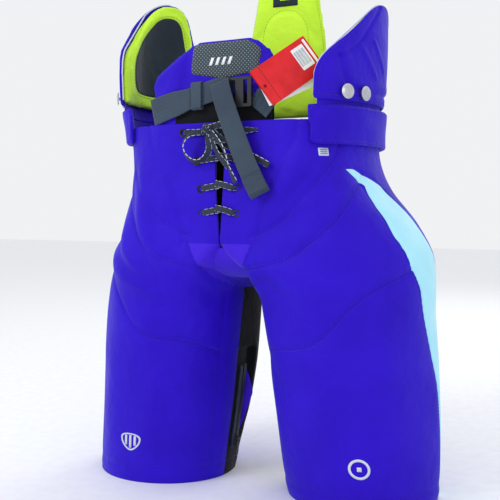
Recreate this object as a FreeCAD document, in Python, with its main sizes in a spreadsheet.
"""Ice hockey pants: a padded shell on two legs, with a laced fly, a belt, floating hip and spine guards
and inseam zips.

Frame: millimetres, +Z up, +X to the wearer's left, -Y to the front, origin on the floor under the middle
of the pants, which stand on their two leg hems. Sewn panels are thin curved strips taken from one body
surface, which the stations in the sheet describe. Hardware is made of PartDesign bodies bound to the same
sheet. The pants slouch to one side as in the photograph, so the two outer half widths differ.
"""

import FreeCAD, Part

import math
import os

import Sketcher

V = FreeCAD.Vector
SIDES = (("left", 1), ("right", -1))

doc = FreeCAD.newDocument("hockey_pants")
sheet = doc.addObject("Spreadsheet::Sheet", "dims")

# Each station of the body surface: height, then the leg's centre line from the middle plane, the outer half
# widths of the left and right leg and the inner one about that line, and the depths to front and back.
STATIONS = {
    "hem": (0, 140, 90, 90, 94, 86, 88),
    "knee": (110, 127, 101, 92, 97, 99, 102),
    "thigh": (220, 116, 105, 90, 98, 111, 122),
    "crotch": (290, 110, 110, 78, 104, 117, 132),
    "seat": (330, 100, 100, 70, 100, 117, 130),
    "hip": (370, 86, 81, 78, 86, 117, 122),
    "belly": (410, 76, 74, 86, 76, 115, 113),
    "waist": (455, 66, 84, 104, 66, 112, 106),
    "rim": (500, 62, 94, 118, 62, 109, 103),
    "brow": (560, 64, 94, 116, 64, 106, 104),
    "crown": (700, 64, 92, 96, 64, 104, 108),
}
STATION_SIZES = ("z", "cx", "out_left", "out_right", "inn", "front", "back")

DIMS = {
    # hip joint of each leg, and the running gap between leg and waist
    "hip_axis_z": 375, "hip_reach": 150, "hip_gap": 1.5, "hip_cut_length": 700,
    # sewn shell
    "panel_th": 4, "seam_gap": 0.6, "front_seam_t": 36, "rear_seam_t": 146, "inner_front_t": 206,
    "leg_trim_z": 310, "shell_bottom_z": 220, "shell_top_z": 452,
    # laced fly
    "fly_low_z": 312, "fly_seam_low": 42, "fly_seam_high": 96, "slit_low": 0.6, "slit_high": 9,
    "eyelet_rows": 4, "eyelet_low_z": 346, "eyelet_high_z": 441, "eyelet_low_x": 23, "eyelet_high_x": 50,
    "eyelet_hole_r": 2.6, "eyelet_tube_r": 3.3, "eyelet_rim_r": 5.2, "eyelet_rim_th": 1.1,
    "eyelet_gap": 0.5,
    "lace_w": 8, "lace_th": 1.2, "knot_x": -11, "knot_y": -126, "knot_z": 443, "knot_r": 6.5,
    "top_row_end": 9, "knot_deep": 0.6,
    # belt
    "web_w": 25, "web_th": 1.8, "belt_end_z": 467, "belt_mid_z": 492, "belt_end_x": 94,
    "short_strap_x": 66, "short_strap_z": 464,
    "buckle_x": 27, "buckle_y": -117, "buckle_long": 30, "buckle_high": 34, "buckle_th": 4.5,
    "buckle_slot": 5, "buckle_slot_at": 7.5, "buckle_window": 27, "buckle_round": 2,
    "tail_low_z": 367, "tail_low_x": 58, "tail_y": -131, "belt_loop_x": -31, "belt_loop_w": 14,
    "belt_loop_th": 2,
    # tongue behind the fly
    "tongue_low_z": 425, "tongue_fold_z": 470, "tongue_th": 9, "tongue_depth": 6,
    "tongue_left_w": 66, "tongue_left_z": 531, "tongue_right_w": 108, "tongue_right_z": 512,
    "badge_half_w": 44, "badge_low_z": 507, "badge_top_z": 545, "badge_th": 1.2,
    # hip bands and guards: heights and turns of each side
    "band_low_left": 423, "band_low_right": 431, "band_high": 48, "band_th": 8, "band_gap": 1.3,
    "band_front_left": 66, "band_front_right": 54, "band_back_t": 70,
    "guard_low_left": 474, "guard_brow_left": 518, "guard_top_left": 594,
    "guard_low_right": 482, "guard_brow_right": 538, "guard_top_right": 634,
    "guard_front_left": 62, "guard_front_right": 46, "guard_back_t": 65,
    "peak_front_left": -10, "peak_back_left": 18, "peak_front_right": 14, "peak_back_right": 40,
    "guard_foam_th": 11, "guard_cover_th": 5, "guard_flare": 12, "guard_flare_from_t": 20,
    "button_r": 8.5, "button_edge": 1.2, "button_dome": 2.6, "button_shank_r": 2.2, "button_shank": 3,
    "button_gap": 0.9, "button_above": 10, "button_front_left": 40, "button_rear_left": 24, "button_front_right": 34,
    "button_rear_right": 21,
    # spine guard
    "spine_low_z": 470, "spine_shoulder_z": 570, "spine_top_z": 676, "spine_half_w": 61,
    "spine_top_half_w": 42, "spine_depth": 6, "spine_pad_th": 16,
    "spine_plate_th": 3, "spine_plate_border": 12, "spine_plate_low_z": 480, "spine_plate_top_z": 650,
    "spine_label_half_w": 18, "spine_label_low_z": 625, "spine_label_top_z": 672, "spine_label_th": 1,
    # crotch gusset and tailbone pad
    "gusset_top_z": 309, "gusset_low_z": 262, "gusset_half_w": 41, "gusset_low_half_w": 14, "gusset_th": 3,
    "tail_pad_low_z": 345, "tail_pad_high_z": 440, "tail_pad_half_w": 48, "tail_pad_th": 14,
    # thigh protection
    "plate_low_z": 25, "plate_high_z": 236, "plate_th": 3, "plate_front_t": 128,
    "plate_side_t": 42, "foam_th": 13,
    # inseam zip
    "zip_low_z": 36, "zip_high_z": 146, "zip_w": 20, "zip_th": 1.4, "zip_proud": 1,
    "slider_long": 11, "slider_w": 9, "slider_th": 3.4, "slider_z": 44,
    "pull_long": 24, "pull_w": 7, "pull_th": 1.4, "pull_hole_r": 1.6,
    "gusset_fin_low_z": 52, "gusset_fin_mid_z": 108, "gusset_fin_high_z": 140, "gusset_fin_out": 15,
    "gusset_fin_th": 2.5,
    # hang tags: the run of their long side, and of their short side, from the punched hole
    "tag_w": 46, "tag_long": 80, "tag_th": 1.6, "tag_run_x": 43, "tag_run_y": 48, "tag_run_z": 43.5,
    "tag_side_x": 25, "tag_side_y": 12, "tag_side_z": -37, "tag_hole_x": 62, "tag_hole_y": -125.8,
    "tag_hole_z": 488, "tag_hole_r": 2, "tag_back_w": 44, "tag_back_long": 76, "tag_back_th": 0.8,
    "tag_behind": 2.4, "tag_back_turn": 10, "string_r": 0.5,
    # moves the whole model so that the floor point lies under the middle of its box
    "frame_shift_y": 0,
}


def fill_sheet():
    """Writes every driving dimension to the sheet, each with its own alias."""
    rows = dict(DIMS)
    for name, values in STATIONS.items():
        for size, value in zip(STATION_SIZES, values):
            rows[f"{name}_{size}"] = value
    for row, (alias, value) in enumerate(rows.items(), start=1):
        sheet.set(f"A{row}", alias)
        sheet.set(f"B{row}", str(value))
        sheet.setAlias(f"B{row}", alias)
    doc.recompute()


def dim(alias):
    """A driving dimension, read back from the sheet."""
    return float(sheet.get(alias))


# ---------------------------------------------------------------- body surface


def station(z, side):
    """The body surface's sizes at height z, (cx, out, inn, front, back): a cubic through the stations."""
    table = [[dim(f"{name}_{size}") for size in STATION_SIZES] for name in STATIONS]
    i = max(0, min(len(table) - 2, sum(1 for row in table if row[0] <= z) - 1))
    before, after = table[max(i - 1, 0)], table[min(i + 2, len(table) - 1)]
    low, high = table[i], table[i + 1]
    span = high[0] - low[0]
    u = (z - low[0]) / span
    sizes = []
    for k in range(1, len(STATION_SIZES)):
        slope_low = (high[k] - before[k]) / (high[0] - before[0])
        slope_high = (after[k] - low[k]) / (after[0] - low[0])
        sizes.append(
            low[k] * (2 * u**3 - 3 * u**2 + 1)
            + high[k] * (3 * u**2 - 2 * u**3)
            + slope_low * span * (u**3 - 2 * u**2 + u)
            + slope_high * span * (u**3 - u**2)
        )
    cx, out_left, out_right, inn, front, back = sizes
    return cx, out_left if side > 0 else out_right, inn, front, back


def wall(side, z, turn, depth, leg):
    """A point `depth` under the body surface. turn is -90 at the front of the centre line, 0 at the
    outside, 90 at the back, and past 90 either way it goes round the inner leg, or above the crotch
    straight in to the middle plane."""
    cx, out, inn, front, back = station(z, side)
    a = math.radians(turn)
    reach = front if math.sin(a) < 0 else back
    if leg or abs(turn) <= 90:
        half = out if math.cos(a) >= 0 else inn
        x, y = cx + half * math.cos(a), reach * math.sin(a)
        normal = V(math.cos(a) / half, math.sin(a) / reach, 0)
    else:
        sign = -1 if turn < 0 else 1
        x, y = cx * (180 - abs(turn)) / 90, reach * sign
        normal = V(0, sign, 0)
    normal.normalize()
    return V(side * (x - depth * normal.x), y - depth * normal.y, z)


def turn_at(side, z, x, sign):
    """The turn of the surface point that lies x from the middle plane, on the front (sign -1) or back (1)."""
    cx, out = station(z, side)[:2]
    if x <= cx:
        return sign * (180 - 90 * x / cx)
    return sign * math.degrees(math.acos(min(1, (x - cx) / out)))


def spline(points):
    curve = Part.BSplineCurve()
    curve.interpolate(points)
    return curve.toShape()


def strip_section(side, z, turns, depths, leg, count, flare):
    """A closed wire: the wall at height z between two turns and two depths, stood out by the flare."""
    low, high = turns
    steps = [low + (high - low) * i / (count - 1) for i in range(count)]
    outer = [wall(side, z, t, depths[0] - flare(t), leg) for t in steps]
    inner = [wall(side, z, t, depths[1] - flare(t), leg) for t in reversed(steps)]
    ends = Part.makeLine(outer[-1], inner[0]), Part.makeLine(inner[-1], outer[0])
    return Part.Wire([spline(outer), ends[0], spline(inner), ends[1]])


def no_flare(turn):
    return 0


def strip(side, heights, turns, depths, leg=False, count=7, flare=no_flare):
    """A curved panel through several heights. turns is a pair, or a function from height to a pair."""
    ranges = [turns(z) if callable(turns) else turns for z in heights]
    sections = [strip_section(side, z, r, depths, leg, count, flare) for z, r in zip(heights, ranges)]
    return Part.makeLoft(sections, True, False)


def levels(low, high, count):
    return [low + (high - low) * i / (count - 1) for i in range(count)]


def blend_between(z, z0, value0, z1, value1):
    """A value that runs in a straight line from value0 at z0 to value1 at z1, and is held beyond them."""
    u = max(0, min(1, (z - z0) / (z1 - z0)))
    return value0 + (value1 - value0) * u


def hip_drum(radius):
    """The drum about the hip axis that the legs swing round."""
    length = dim("hip_cut_length")
    return Part.makeCylinder(radius, length, V(-length / 2, 0, dim("hip_axis_z")), V(1, 0, 0))


def outside_drum(shape):
    return shape.cut(hip_drum(dim("hip_reach")))


def inside_drum(shape):
    """Keeps what the legs can swing round: all above the hip axis, and the drum's inside below it."""
    wide = dim("hip_cut_length")
    above = Part.makeBox(wide, wide, wide, V(-wide / 2, -wide / 2, dim("hip_axis_z")))
    return shape.common(above.fuse(hip_drum(dim("hip_reach") - dim("hip_gap"))))


def ribbon(sections):
    """A flat strap through sections: (centre, width direction, thickness direction, width, thickness)."""
    wires = []
    for centre, across, through, width, thickness in sections:
        a, t = V(across).normalize() * (width / 2), V(through).normalize() * (thickness / 2)
        corners = [centre - a - t, centre + a - t, centre + a + t, centre - a + t]
        wires.append(Part.makePolygon(corners + corners[:1]))
    return Part.makeLoft(wires, True, False)


def soft_part(label, shape):
    """A sub-part whose shape comes from Part's own functions."""
    made = doc.addObject("Part::Feature", label)
    made.Label = label
    made.Shape = shape
    made.Placement = FreeCAD.Placement(V(0, dim("frame_shift_y"), 0), FreeCAD.Rotation())
    return made


# ---------------------------------------------------------------- sketch helpers


def new_body(label):
    body = doc.addObject("PartDesign::Body", label)
    body.Label = label
    return body


def new_sketch(body, role, name):
    sketch = body.newObject("Sketcher::SketchObject", name)
    plane = [f for f in body.Origin.OriginFeatures if f.Role == role][0]
    sketch.AttachmentSupport = [(plane, "")]
    sketch.MapMode = "FlatFace"
    return sketch


def value_of(expression):
    """The number that an expression of sheet aliases stands for."""
    names = {alias: dim(alias) for alias in DIMS if alias in expression}
    for alias in sorted(names, key=len, reverse=True):
        expression = expression.replace(alias, repr(names[alias]))
    total = 0.0
    for term in expression.replace("-", "+-").split("+"):
        if term.strip():
            product = 1.0
            sign = -1 if term.strip().startswith("-") else 1
            for factor in term.strip().lstrip("-").split("*"):
                product *= float(factor)
            total += sign * product
    return total


def bound(expression):
    """The same expression with each alias named on the sheet."""
    terms = expression.replace("*", " * ").replace("+", " + ").replace("-", " - ").split()
    return " ".join(f"dims.{word}" if word[0].isalpha() else word for word in terms)


def drive(sketch, kind, *where, expression):
    index = sketch.addConstraint(Sketcher.Constraint(kind, *where, value_of(expression)))
    sketch.setExpression(f"Constraints[{index}]", bound(expression))


def polygon(sketch, corners):
    """A closed outline; each corner is two expressions, none negative, measured from the sketch's origin."""
    points = [V(value_of(x), value_of(y), 0) for x, y in corners]
    first = sketch.GeometryCount
    for i, point in enumerate(points):
        sketch.addGeometry(Part.LineSegment(point, points[(i + 1) % len(points)]), False)
    for i, (x, y) in enumerate(corners):
        line = first + i
        sketch.addConstraint(Sketcher.Constraint("Coincident", line, 2, first + (i + 1) % len(points), 1))
        for kind, axis, expression in (("DistanceX", -2, x), ("DistanceY", -1, y)):
            if value_of(expression) == 0:
                sketch.addConstraint(Sketcher.Constraint("PointOnObject", line, 1, axis))
            else:
                drive(sketch, kind, -1, 1, line, 1, expression=expression)


def rectangle(sketch, width, height, at_x="0"):
    """A rectangle centred on the sketch's X axis at at_x, its sides bound to the sheet."""
    w, h, cx = value_of(width) / 2, value_of(height) / 2, value_of(at_x)
    first = sketch.GeometryCount
    corners = [V(cx - w, -h, 0), V(cx + w, -h, 0), V(cx + w, h, 0), V(cx - w, h, 0)]
    for i in range(4):
        sketch.addGeometry(Part.LineSegment(corners[i], corners[(i + 1) % 4]), False)
        sketch.addConstraint(Sketcher.Constraint(("Horizontal", "Vertical")[i % 2], first + i))
    for i in range(4):
        sketch.addConstraint(Sketcher.Constraint("Coincident", first + i, 2, first + (i + 1) % 4, 1))
    drive(sketch, "DistanceX", first, 1, first, 2, expression=width)
    drive(sketch, "DistanceY", first + 1, 1, first + 1, 2, expression=height)
    centre = sketch.addGeometry(Part.Point(V(cx, 0, 0)), True)
    sketch.addConstraint(Sketcher.Constraint("Symmetric", first, 1, first + 2, 1, centre, 1))
    sketch.addConstraint(Sketcher.Constraint("PointOnObject", centre, 1, -1))
    if cx == 0:
        sketch.addConstraint(Sketcher.Constraint("PointOnObject", centre, 1, -2))
    elif cx > 0:
        drive(sketch, "DistanceX", -1, 1, centre, 1, expression=at_x)
    else:
        drive(sketch, "DistanceX", centre, 1, -1, 1, expression=at_x.lstrip("-"))


def circle(sketch, radius, at_x="0", at_y="0"):
    """A circle whose radius and place, none negative, are bound to the sheet."""
    centre = V(value_of(at_x), value_of(at_y), 0)
    made = sketch.addGeometry(Part.Circle(centre, V(0, 0, 1), value_of(radius)), False)
    drive(sketch, "Radius", made, expression=radius)
    for kind, axis, expression in (("DistanceX", -2, at_x), ("DistanceY", -1, at_y)):
        if value_of(expression) == 0:
            sketch.addConstraint(Sketcher.Constraint("PointOnObject", made, 3, axis))
        else:
            drive(sketch, kind, -1, 1, made, 3, expression=expression)


def pad(body, sketch, length):
    feature = body.newObject("PartDesign::Pad", f"{body.Name}_pad")
    feature.Profile = sketch
    feature.setExpression("Length", bound(length))
    feature.Midplane = True
    doc.recompute()
    return feature


def cut_through(body, sketch):
    """A pocket both ways through the body."""
    feature = body.newObject("PartDesign::Pocket", f"{body.Name}_cut_{sketch.Name}")
    feature.Profile = sketch
    feature.Type = "ThroughAll"
    feature.Midplane = True
    doc.recompute()
    return feature


def turned(body, corners):
    """A full revolution about the body's Z axis of an outline given as (radius, height) expressions."""
    sketch = new_sketch(body, "XZ_Plane", f"{body.Name}_profile")
    polygon(sketch, corners)
    feature = body.newObject("PartDesign::Revolution", f"{body.Name}_turned")
    feature.Profile = sketch
    feature.ReferenceAxis = (sketch, ["V_Axis"])
    feature.Angle = 360
    doc.recompute()
    return feature


def place(thing, at, toward=V(0, 0, 1), spin=0):
    """Puts a part's origin at a point, with its own Z axis along toward, turned by spin about it."""
    turn = FreeCAD.Rotation(V(0, 0, 1), toward).multiply(FreeCAD.Rotation(V(0, 0, 1), spin))
    thing.Placement = FreeCAD.Placement(at + V(0, dim("frame_shift_y"), 0), turn)


def grouped(label, master, placements):
    """One sub-part of several separate copies of a body that itself isn't a sub-part."""
    copies = []
    for placement in placements:
        copy = master.Shape.copy()
        copy.Placement = placement
        copies.append(copy)
    made = doc.addObject("Part::Feature", label)
    made.Label = label
    made.Shape = Part.makeCompound(copies)
    made.Placement = FreeCAD.Placement(V(0, dim("frame_shift_y"), 0), FreeCAD.Rotation())
    return made


# ---------------------------------------------------------------- legs


def leg_panels(name, side):
    """Thigh, outer, rear and inner panel of one leg, from the hem up to the drum it swings round."""
    panel = (0, dim("panel_th"))
    heights = levels(dim("hem_z"), dim("leg_trim_z"), 6)
    front, rear, inner = dim("front_seam_t"), dim("rear_seam_t"), dim("inner_front_t") - 360
    gap = dim("seam_gap")
    ranges = {
        "thigh_panel": (inner + gap, -front - gap),
        "outer_panel": (-front, front),
        "rear_panel": (front + gap, rear - gap),
        "inner_panel": (rear, dim("inner_front_t")),
    }
    return [
        soft_part(f"{kind}_{name}", outside_drum(strip(side, heights, turns, panel, leg=True)))
        for kind, turns in ranges.items()
    ]


def thigh_guard(name, side):
    """The moulded plate and its foam, inside the thigh panel."""
    heights = levels(dim("plate_low_z"), dim("plate_high_z"), 5)
    turns = (-dim("plate_front_t"), -dim("plate_side_t"))
    under = dim("panel_th") + 1
    plate = (under, under + dim("plate_th"))
    foam = (plate[1] + 0.4, plate[1] + 0.4 + dim("foam_th"))
    return [
        soft_part(f"thigh_plate_{name}", outside_drum(strip(side, heights, turns, plate, leg=True))),
        soft_part(f"thigh_foam_{name}", outside_drum(strip(side, heights, turns, foam, leg=True))),
    ]


def inseam(side, z, out):
    """A point on the innermost line of a leg, out of its surface by `out`."""
    cx, _, inn = station(z, side)[:3]
    return V(side * (cx - inn - out), 0, z)


def zip_direction(side):
    return (inseam(side, dim("zip_high_z"), 0) - inseam(side, dim("zip_low_z"), 0)).normalize()


def inseam_zip(name, side):
    """Tape, folded gusset, slider and pull tab of the zip on the innermost line of a leg."""
    up = zip_direction(side)
    out = V(0, 1, 0).cross(up) * -side
    if out.x * side > 0:
        out = out * -1
    length = (inseam(side, dim("zip_high_z"), 0) - inseam(side, dim("zip_low_z"), 0)).Length
    middle = (inseam(side, dim("zip_high_z"), 0) + inseam(side, dim("zip_low_z"), 0)) * 0.5
    lift = dim("zip_proud") + dim("zip_th") / 2
    frame = FreeCAD.Placement(V(0, 0, 0), FreeCAD.Rotation(V(0, 1, 0), up, out, "ZXY"))
    tape_at = [middle + up * (length / 2 * end) + out * lift for end in (-1, 1)]
    tape = soft_part(
        f"zip_tape_{name}",
        ribbon([(at, V(0, 1, 0), out, dim("zip_w"), dim("zip_th")) for at in tape_at]),
    )

    slider = new_body(f"zip_slider_{name}")
    outline = new_sketch(slider, "XY_Plane", f"slider_outline_{name}")
    rectangle(outline, "slider_w", "slider_long")
    pad(slider, outline, "slider_th")
    seat = dim("zip_proud") + dim("zip_th") + 0.2 + dim("slider_th") / 2
    slider_at = inseam(side, dim("slider_z"), 0) + out * seat
    slider.Placement = FreeCAD.Placement(slider_at + V(0, dim("frame_shift_y"), 0), frame.Rotation)

    tab = new_body(f"zip_pull_{name}")
    tab_outline = new_sketch(tab, "XY_Plane", f"pull_outline_{name}")
    rectangle(tab_outline, "pull_w", "pull_long")
    pad(tab, tab_outline, "pull_th")
    hole = new_sketch(tab, "XY_Plane", f"pull_hole_{name}")
    circle(hole, "pull_hole_r", "0", "pull_long*0.3")
    cut_through(tab, hole)
    tab_lift = dim("slider_th") / 2 + 0.4 + dim("pull_th") / 2
    tab_at = slider_at + out * tab_lift - up * (dim("pull_long") / 2 - dim("slider_long") / 2)
    tab.Placement = FreeCAD.Placement(tab_at + V(0, dim("frame_shift_y"), 0), frame.Rotation)
    return [tape, slider, tab]


def zip_gusset(name, side):
    """The bellows of cloth behind the zip, folded flat, which stands out of the inseam as a shallow fin."""
    low, mid, high = dim("gusset_fin_low_z"), dim("gusset_fin_mid_z"), dim("gusset_fin_high_z")
    start = dim("zip_w") / 2 + 1
    clear = 0.8
    outline = [
        inseam(side, low, clear),
        inseam(side, mid, dim("gusset_fin_out")),
        inseam(side, high, clear),
        inseam(side, low, clear),
    ]
    fin = Part.Face(Part.makePolygon(outline)).extrude(V(0, dim("gusset_fin_th"), 0))
    fin.translate(V(0, start, 0))
    return soft_part(f"zip_gusset_{name}", fin.cut(Part.makeCompound([leg_core(side)])))


def leg_core(side):
    """The leg's outer surface as a closed solid, slightly oversize, for trimming what lies on it."""
    heights = levels(dim("hem_z"), dim("thigh_z"), 4)
    wires = []
    for z in heights:
        ring = [wall(side, z, -180 + 30 * i, -0.8, True) for i in range(12)]
        curve = Part.BSplineCurve()
        curve.interpolate(ring, PeriodicFlag=True)
        wires.append(Part.Wire([curve.toShape()]))
    return Part.makeLoft(wires, True, False)


# ---------------------------------------------------------------- waist shell


def fly_seam(z):
    return blend_between(z, dim("fly_low_z"), dim("fly_seam_low"), dim("shell_top_z"), dim("fly_seam_high"))


def slit(z):
    return blend_between(z, dim("fly_low_z"), dim("slit_low"), dim("shell_top_z"), dim("slit_high"))


def waist_panels(name, side):
    """Fly, front, side and seat panel of one half of the waist."""
    panel = (0, dim("panel_th"))
    gap, front = dim("seam_gap"), dim("front_seam_t")
    top, low = dim("shell_top_z"), dim("shell_bottom_z")

    def fly_turns(z):
        return turn_at(side, z, slit(z), -1), turn_at(side, z, fly_seam(z) - gap, -1)

    fly = strip(side, levels(dim("fly_low_z"), top, 5), fly_turns, panel)
    for x, z in eyelet_places():
        at = V(side * x, -dim("hip_front") - 20, z)
        fly = fly.cut(Part.makeCylinder(dim("eyelet_tube_r") + 0.2, 60, at, V(0, 1, 0)))

    def front_turns(z):
        return turn_at(side, z, max(fly_seam(z), dim("gusset_half_w") + 1), -1), -front - gap

    front_panel = strip(side, levels(low, top, 7), front_turns, panel)
    outer = strip(side, levels(low, top, 7), (-front, front), panel)
    rear = strip(side, levels(low, top, 7), lambda z: (front + gap, turn_at(side, z, 0.4, 1)), panel)
    shapes = {"fly_panel": fly, "front_panel": front_panel, "side_panel": outer, "seat_panel": rear}
    return [soft_part(f"{kind}_{name}", inside_drum(shape)) for kind, shape in shapes.items()]


def crotch_gusset():
    """One strip of stretch cloth from the bottom of the fly, under the crotch, to the seat seam."""
    th, top, low = dim("gusset_th"), dim("gusset_top_z"), dim("gusset_low_z")
    front, back = dim("crotch_front"), dim("crotch_back")
    wide, narrow = dim("gusset_half_w") * 2, dim("gusset_low_half_w") * 2
    side_way = V(1, 0, 0)
    sections = [
        (V(0, -front + th / 2, top), side_way, V(0, 1, 0), wide, th),
        (V(0, -front * 0.96, (top * 2 + low) / 3), side_way, V(0, 1, 0.3), wide * 0.86, th),
        (V(0, -front * 0.62, low + 7), side_way, V(0, 0.5, 1), narrow * 1.5, th),
        (V(0, 0, low), side_way, V(0, 0, 1), narrow, th),
        (V(0, back * 0.55, low + 6), side_way, V(0, -0.4, 1), narrow * 1.2, th),
        (V(0, back - th * 2, low + 24), side_way, V(0, -1, 0.5), narrow * 1.2, th),
    ]
    return soft_part("crotch_gusset", inside_drum(ribbon(sections)))


def over_back(heights, edge, depths):
    """A panel across the middle of the back, out to edge(z) on both sides."""
    halves = [
        strip(side, heights, lambda z, side=side: (turn_at(side, z, edge(z), 1), 180), depths)
        for _, side in SIDES
    ]
    return halves[0].fuse(halves[1])


def tailbone_pad():
    """The foam pad on the inside of the seat."""
    half = dim("tail_pad_half_w")
    depth = dim("panel_th") + 1
    heights = levels(dim("tail_pad_low_z"), dim("tail_pad_high_z"), 4)
    return soft_part("tailbone_pad", over_back(heights, lambda z: half, (depth, depth + dim("tail_pad_th"))))


def hip_band(name, side):
    """The stiff cuff round the hip that holds the foot of the hip guard."""
    turns = (-dim(f"band_front_{name}"), dim("band_back_t"))
    gap, low = dim("band_gap"), dim(f"band_low_{name}")
    heights = levels(low, low + dim("band_high"), 3)
    depths = (-gap - dim("band_th"), -gap)
    return soft_part(f"hip_band_{name}", strip(side, heights, turns, depths, count=13))


# ---------------------------------------------------------------- lace


def eyelet_places():
    """(x, z) of the eyelets of one side, from the lowest up."""
    rows = int(dim("eyelet_rows"))
    low, high = (dim("eyelet_low_x"), dim("eyelet_low_z")), (dim("eyelet_high_x"), dim("eyelet_high_z"))
    spots = []
    for row in range(rows):
        u = row / (rows - 1)
        spots.append((low[0] + (high[0] - low[0]) * u**3, low[1] + (high[1] - low[1]) * u**1.1))
    return spots


def front_y(z, x=0):
    """Y of the body surface at the front, x from the middle plane."""
    side = 1 if x >= 0 else -1
    return wall(side, z, turn_at(side, z, abs(x), -1), 0, False).y


def eyelets():
    """Eyelets set in both fly panels: a tube with a rolled rim at the front."""
    master = new_body("eyelet_master")
    rim = "panel_th+eyelet_gap"
    turned(
        master,
        [
            ("eyelet_hole_r", "0"),
            ("eyelet_tube_r", "0"),
            ("eyelet_tube_r", rim),
            ("eyelet_rim_r", rim),
            ("eyelet_rim_r", f"{rim}+eyelet_rim_th*0.6"),
            ("eyelet_rim_r-eyelet_rim_th*0.6", f"{rim}+eyelet_rim_th"),
            ("eyelet_hole_r+0.4", f"{rim}+eyelet_rim_th"),
            ("eyelet_hole_r", f"{rim}+eyelet_rim_th*0.6"),
        ],
    )
    spots = []
    for _, side in SIDES:
        for x, z in eyelet_places():
            at = V(side * x, front_y(z, x) + dim("panel_th"), z)
            spots.append(FreeCAD.Placement(at, FreeCAD.Rotation(V(0, 0, 1), V(0, -1, 0))))
    return grouped("eyelets", master, spots)


def lace_runs():
    """The flat runs of lace over the fly, from each eyelet to the slit or, in the top row, to the knot."""
    lift = 2.2
    runs = []
    for _, side in SIDES:
        for row, (x, z) in enumerate(eyelet_places()):
            top = row == int(dim("eyelet_rows")) - 1
            end_x = side * dim("knot_x") + dim("top_row_end") if top else slit(z) + 2.0
            rise = 0 if top else 5 + 1.2 * side
            stand = lift + (1.4 if side > 0 else 0) + dim("lace_th") / 2
            start, end = side * (x - dim("eyelet_rim_r") - 0.6), side * end_x
            points = []
            for u in (0, 0.5, 1):
                px, pz = start + (end - start) * u, z + rise * u
                points.append(V(px, front_y(pz, px) - stand, pz))
            across = V(-side * rise, 0, abs(end - start)).normalize()
            runs.append(ribbon([(p, across, V(0, 1, 0), dim("lace_w"), dim("lace_th")) for p in points]))
    return soft_part("lace_runs", Part.makeCompound(runs))


def lace_tube(points, radius):
    """A round tube along straight runs joined by arcs that touch both runs."""
    edges, last = [], points[0]
    for i in range(1, len(points) - 1):
        before, here, after = points[i - 1], points[i], points[i + 1]
        a, b = before - here, after - here
        turn = math.pi - a.getAngle(b)
        shorter = min(a.Length, b.Length)
        bend = 0.45 * shorter / math.tan(turn / 2)
        cut = bend * math.tan(turn / 2)
        ua, ub = V(a).normalize(), V(b).normalize()
        start, end = here + ua * cut, here + ub * cut
        toward = (ua + ub).normalize()
        middle = here + toward * (bend / math.cos(turn / 2) - bend)
        edges += [Part.LineSegment(last, start).toShape(), Part.Arc(start, middle, end).toShape()]
        last = end
        print(f"  bend radius {bend:.1f} mm")
    edges.append(Part.LineSegment(last, points[-1]).toShape())
    path = Part.Wire(edges)
    section = Part.Wire([Part.makeCircle(radius, points[0], points[1] - points[0])])
    tube = path.makePipeShell([section], True, True)
    expected = math.pi * radius**2 * path.Length
    print(f"  tube {path.Length:.1f} mm long, volume {tube.Volume / expected:.3f} of section times length")
    return tube


# Routes of the bow's loops and ends, each point from the knot's centre.
LACE_ROUTES = {
    "lace_loop_right": [
        (-6.5, 0, -3), (-16, -3, -3), (-27, -4, -9), (-31, -4, -20), (-26, -3, -32), (-14, -2, -38),
        (-3, -1, -34), (3, 0, -24), (1.5, 0, -14), (-1, 0, -6.5),
    ],
    "lace_loop_left": [
        (6, 0.5, 2), (17, 1, 6), (29, 1, 5), (35, 2, -4), (30, 2, -14), (18, 1, -13), (6, 0.5, -2),
    ],
    "lace_end_left": [
        (4.5, 1.5, -5.5), (14, 3, -15), (28, 3, -21), (44, 3, -26), (60, 3, -33), (77, 2, -43),
    ],
    "lace_end_right": [(2.8, -0.5, -6.5), (8, 1, -20), (16, 1, -33), (27, 1, -44)],
    "lace_slack": [(5, -2, -3), (15, -4.5, -11), (25, -4.5, -26), (29, -4, -44), (36, 1, -62)],
}


def lace_bow():
    """The knot, with its two loops, two free ends and a slack run. Slim tubes stand in for the flat lace."""
    knot_at = V(dim("knot_x"), dim("knot_y"), dim("knot_z"))
    flatten = FreeCAD.Matrix()
    flatten.scale(V(1, dim("knot_deep"), 1))
    flatten.move(knot_at)
    made = [soft_part("lace_knot", Part.makeSphere(dim("knot_r")).transformGeometry(flatten))]
    for name, route in LACE_ROUTES.items():
        print(name)
        points = [knot_at + V(*p) for p in route]
        made.append(soft_part(name, lace_tube(points, dim("lace_th"))))
    return made


# ---------------------------------------------------------------- belt


def belt_z(x):
    return blend_between(abs(x), 0, dim("belt_mid_z"), dim("belt_end_x"), dim("belt_end_z"))


def belt_run(x0, x1, stand, count=6):
    """Webbing in front of the tongue from x0 to x1, standing `stand` out of the body surface."""
    sections = []
    for x in levels(x0, x1, count):
        z = belt_z(x)
        at = V(x, front_y(z, x) - stand - dim("web_th") / 2, z)
        side = 1 if x >= 0 else -1
        turn = turn_at(side, z, abs(x), -1)
        lean = wall(side, z, turn, 0, False) - wall(side, z, turn, 1, False)
        sections.append((at, V(0, 0, 1), lean, dim("web_w"), dim("web_th")))
    return ribbon(sections)


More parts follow.
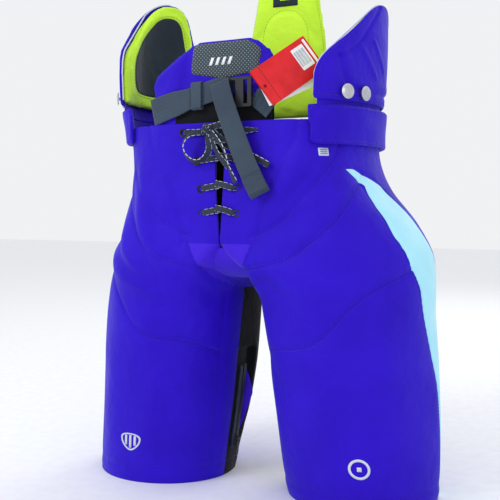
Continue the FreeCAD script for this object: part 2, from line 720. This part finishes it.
def belt():
    """Both webbing straps, the loose tail, the belt loop and the ladder buckle."""
    end, x, half = dim("belt_end_x"), dim("buckle_x"), dim("buckle_long") / 2
    made = [soft_part("belt_strap_right", belt_run(-end, x - half + 4, 1.0))]
    begin, finish = V(x + half + 1.4, 0, belt_z(x) - 3), V(dim("short_strap_x"), 0, dim("short_strap_z"))
    run = (finish - begin).normalize()
    across = V(-run.z, 0, run.x)
    sections = []
    for u in (0, 0.5, 1):
        at = begin + (finish - begin) * u
        at.y = front_y(at.z, at.x) - 1.6 - dim("web_th") / 2
        sections.append((at, across, V(0, 1, 0), dim("web_w"), dim("web_th")))
    made.append(soft_part("belt_strap_left", ribbon(sections)))
    top_z, low_z, low_x = dim("belt_mid_z") + 9, dim("tail_low_z"), dim("tail_low_x")
    start = V(x - half - 9, 0, top_z - 6)
    hang = V(low_x - start.x, 0, low_z - top_z).normalize()
    across = V(-hang.z, 0, hang.x)
    tail_points = [
        V(start.x, dim("tail_y") + 9.5, top_z - 4),
        V(start.x + 4, dim("tail_y") + 5, top_z - 16),
        V(start.x + 19, dim("tail_y") - 1, top_z - 52),
        V(start.x + 35, dim("tail_y") - 1, top_z - 92),
        V(low_x, dim("tail_y") + 3, low_z),
    ]
    tail = ribbon([(p, across, V(0, 1, 0), dim("web_w"), dim("web_th")) for p in tail_points])
    made.append(soft_part("belt_tail", tail))
    loop_x = dim("belt_loop_x")
    z = belt_z(loop_x)
    outer_w, outer_h, th = dim("belt_loop_w"), dim("web_w") + 7, dim("belt_loop_th")
    inner = dim("web_th") + 2.6
    front = front_y(z, loop_x) - 1 - dim("web_th") - 1 - th
    corner = V(loop_x - outer_w / 2, front, z - outer_h / 2)
    frame = Part.makeBox(outer_w, 2 * th + inner, outer_h, corner)
    hole = Part.makeBox(outer_w + 2, inner, outer_h - 2 * th, corner + V(-1, th, th))
    made.append(soft_part("belt_loop", frame.cut(hole)))

    buckle = new_body("ladder_buckle")
    outline = new_sketch(buckle, "XY_Plane", "buckle_outline")
    rectangle(outline, "buckle_long", "buckle_high")
    pad(buckle, outline, "buckle_th")
    slots = new_sketch(buckle, "XY_Plane", "buckle_slots")
    rectangle(slots, "buckle_slot", "buckle_window", "buckle_slot_at")
    rectangle(slots, "buckle_slot", "buckle_window", "-buckle_slot_at")
    cut_through(buckle, slots)
    corners = [
        f"Edge{i + 1}"
        for i, edge in enumerate(buckle.Shape.Edges)
        if edge.BoundBox.ZLength > 1 and abs(edge.BoundBox.Center.x) > half * 0.9
    ]
    slotted = buckle.Tip
    rounding = buckle.newObject("PartDesign::Fillet", "buckle_corners")
    rounding.Base = (slotted, corners)
    rounding.setExpression("Radius", "dims.buckle_round")
    doc.recompute()
    place(buckle, V(x, dim("buckle_y"), belt_z(x)), V(0, -1, 0))
    made.append(buckle)
    return made


# ---------------------------------------------------------------- tongue, guards


def tongue():
    """The padded tongue behind the fly, wider on the right, and its badge."""
    depth, low, fold = dim("tongue_depth"), dim("tongue_low_z"), dim("tongue_fold_z")
    crest, crest_x = dim("badge_top_z") + 8, dim("badge_half_w") - 4
    lift = (depth - 0.3 - dim("badge_th"), depth - 0.3)
    pads, faces = [], []
    for name, side in SIDES:
        reach, top = dim(f"tongue_{name}_w"), dim(f"tongue_{name}_z")

        def turns(z, side=side, reach=reach, top=top):
            return turn_at(side, z, 0, -1), turn_at(side, z, blend_between(z, top, reach, crest, crest_x), -1)

        def badge_turns(z, side=side):
            return turn_at(side, z, 0, -1), turn_at(side, z, dim("badge_half_w"), -1)

        pads.append(strip(side, [low, fold, top, crest], turns, (depth, depth + dim("tongue_th"))))
        faces.append(strip(side, levels(dim("badge_low_z"), dim("badge_top_z"), 3), badge_turns, lift))
    return [
        soft_part("tongue_pad", pads[0].fuse(pads[1])),
        soft_part("tongue_badge", faces[0].fuse(faces[1])),
    ]


def guard_turns(name, z):
    """A hip guard's front and back edge at a height: the front slopes back above its brow."""
    low, brow, top = (dim(f"guard_{level}_{name}") for level in ("low", "brow", "top"))
    front = blend_between(z, brow, -dim(f"guard_front_{name}"), top, dim(f"peak_front_{name}"))
    back = blend_between(z, low, dim("guard_back_t"), top, dim(f"peak_back_{name}"))
    return front, back


def guard_flare(name, turn):
    """How far the guard's front stands away from the waist."""
    start, edge = -dim("guard_flare_from_t"), -dim(f"guard_front_{name}")
    return dim("guard_flare") * max(0, (turn - start) / (edge - start)) ** 1.6 if turn < start else 0


def hip_guard(name, side):
    """Inner foam and outer cover of a hip guard, and its pair of brace buttons."""
    low, cover, foam = dim(f"guard_low_{name}"), dim("guard_cover_th"), dim("guard_foam_th")
    heights = levels(low, dim(f"guard_top_{name}"), 6)
    layers = {"guard_cover": (-cover, 0), "guard_foam": (0.4, 0.4 + foam)}

    def turns(z):
        return guard_turns(name, z)

    def flare(turn):
        return guard_flare(name, turn)

    made = [
        soft_part(f"{kind}_{name}", strip(side, heights, turns, depths, count=13, flare=flare))
        for kind, depths in layers.items()
    ]
    master = new_body(f"button_master_{name}")
    turned(
        master,
        [
            ("0", "0"),
            ("button_shank_r", "0"),
            ("button_shank_r", "button_shank"),
            ("button_r", "button_shank"),
            ("button_r", "button_shank+button_edge"),
            ("button_r*0.6", "button_shank+button_dome*0.8"),
            ("0", "button_shank+button_dome"),
        ],
    )
    spots = []
    button_z = low + dim("button_above")
    for turn in (-dim(f"button_front_{name}"), -dim(f"button_rear_{name}")):
        at = wall(side, button_z, turn, -cover - dim("button_gap") - flare(turn), False)
        normal = at - wall(side, button_z, turn, 0, False)
        spots.append(FreeCAD.Placement(at, FreeCAD.Rotation(V(0, 0, 1), normal)))
    made.append(grouped(f"brace_buttons_{name}", master, spots))
    return made


def spine_edge(z):
    wide, narrow = dim("spine_half_w"), dim("spine_top_half_w")
    return blend_between(z, dim("spine_shoulder_z"), wide, dim("spine_top_z"), narrow)


def spine_guard():
    """Pad, outer plate and inside label of the spine guard."""
    heights = levels(dim("spine_low_z"), dim("spine_top_z"), 5)
    depth, border = dim("spine_depth"), dim("spine_plate_border")
    pad_depth = (depth, depth + dim("spine_pad_th"))
    plate_depth = (depth - 0.4 - dim("spine_plate_th"), depth - 0.4)
    label_depth = (pad_depth[1] + 0.3, pad_depth[1] + 0.3 + dim("spine_label_th"))
    plate_heights = levels(dim("spine_plate_low_z"), dim("spine_plate_top_z"), 4)
    label_heights = levels(dim("spine_label_low_z"), dim("spine_label_top_z"), 3)
    return [
        soft_part("spine_pad", over_back(heights, spine_edge, pad_depth)),
        soft_part("spine_plate", over_back(plate_heights, lambda z: spine_edge(z) - border, plate_depth)),
        soft_part("spine_label", over_back(label_heights, lambda z: dim("spine_label_half_w"), label_depth)),
    ]


# ---------------------------------------------------------------- hang tags


def hang_tags():
    """A folded card and a plain card, both blank, on one string behind the belt."""
    along = V(dim("tag_run_x"), dim("tag_run_y"), dim("tag_run_z")).normalize()
    across = V(dim("tag_side_x"), dim("tag_side_y"), dim("tag_side_z")).normalize()
    across = (across - along * across.dot(along)).normalize()
    front = across.cross(along)
    hole = V(dim("tag_hole_x"), dim("tag_hole_y"), dim("tag_hole_z"))
    made = []
    cards = (
        ("hang_tag_front", "tag", 0, 0),
        ("hang_tag_back", "tag_back", dim("tag_behind"), dim("tag_back_turn")),
    )
    for label, sizes, behind, turned_by in cards:
        long, width, thick = f"{sizes}_long", f"{sizes}_w", f"{sizes}_th"
        card = new_body(label)
        outline = new_sketch(card, "XY_Plane", f"{label}_outline")
        rectangle(outline, long, width, f"{long}*0.44")
        pad(card, outline, thick)
        punch = new_sketch(card, "XY_Plane", f"{label}_hole")
        circle(punch, "tag_hole_r")
        cut_through(card, punch)
        turn = FreeCAD.Rotation(along, across, along.cross(across), "XYZ")
        turn = turn.multiply(FreeCAD.Rotation(V(0, 0, 1), turned_by))
        at = hole - front * behind + V(0, dim("frame_shift_y"), 0)
        card.Placement = FreeCAD.Placement(at, turn)
        made.append(card)
    behind_belt = front_y(hole.z, hole.x) + 2
    string = [
        hole + front * 4,
        hole - front * 7,
        V(hole.x - 6, behind_belt, hole.z + 5),
        V(hole.x - 6, behind_belt, hole.z - 8),
    ]
    print("tag_string")
    made.append(soft_part("tag_string", lace_tube(string, dim("string_r"))))
    return made


# ---------------------------------------------------------------- build and write


def build():
    fill_sheet()
    parts = []
    for name, side in SIDES:
        parts += leg_panels(name, side)
        parts += thigh_guard(name, side)
        parts += inseam_zip(name, side)
        parts.append(zip_gusset(name, side))
        parts += waist_panels(name, side)
        parts.append(hip_band(name, side))
        parts += hip_guard(name, side)
    parts += [crotch_gusset(), tailbone_pad(), eyelets(), lace_runs()]
    parts += lace_bow()
    parts += belt()
    parts += tongue()
    parts += spine_guard()
    parts += hang_tags()
    return parts


def check_and_write(parts):
    doc.recompute()
    for thing in doc.Objects:
        if "Invalid" in thing.State or "Error" in thing.State:
            raise RuntimeError(f"{thing.Label} failed: {thing.State}")
    os.makedirs("parts", exist_ok=True)
    box = FreeCAD.BoundBox()
    for part in parts:
        shape = part.Shape
        if shape.isNull() or not shape.isValid() or not shape.Solids:
            raise RuntimeError(f"{part.Label} has no valid solid")
        box.add(shape.BoundBox)
        shape.exportStep(f"parts/{part.Label}.step")
    print(f"{len(parts)} sub-parts, in a box of {box.XLength:.0f} x {box.YLength:.0f} x {box.ZLength:.0f} mm")


check_and_write(build())
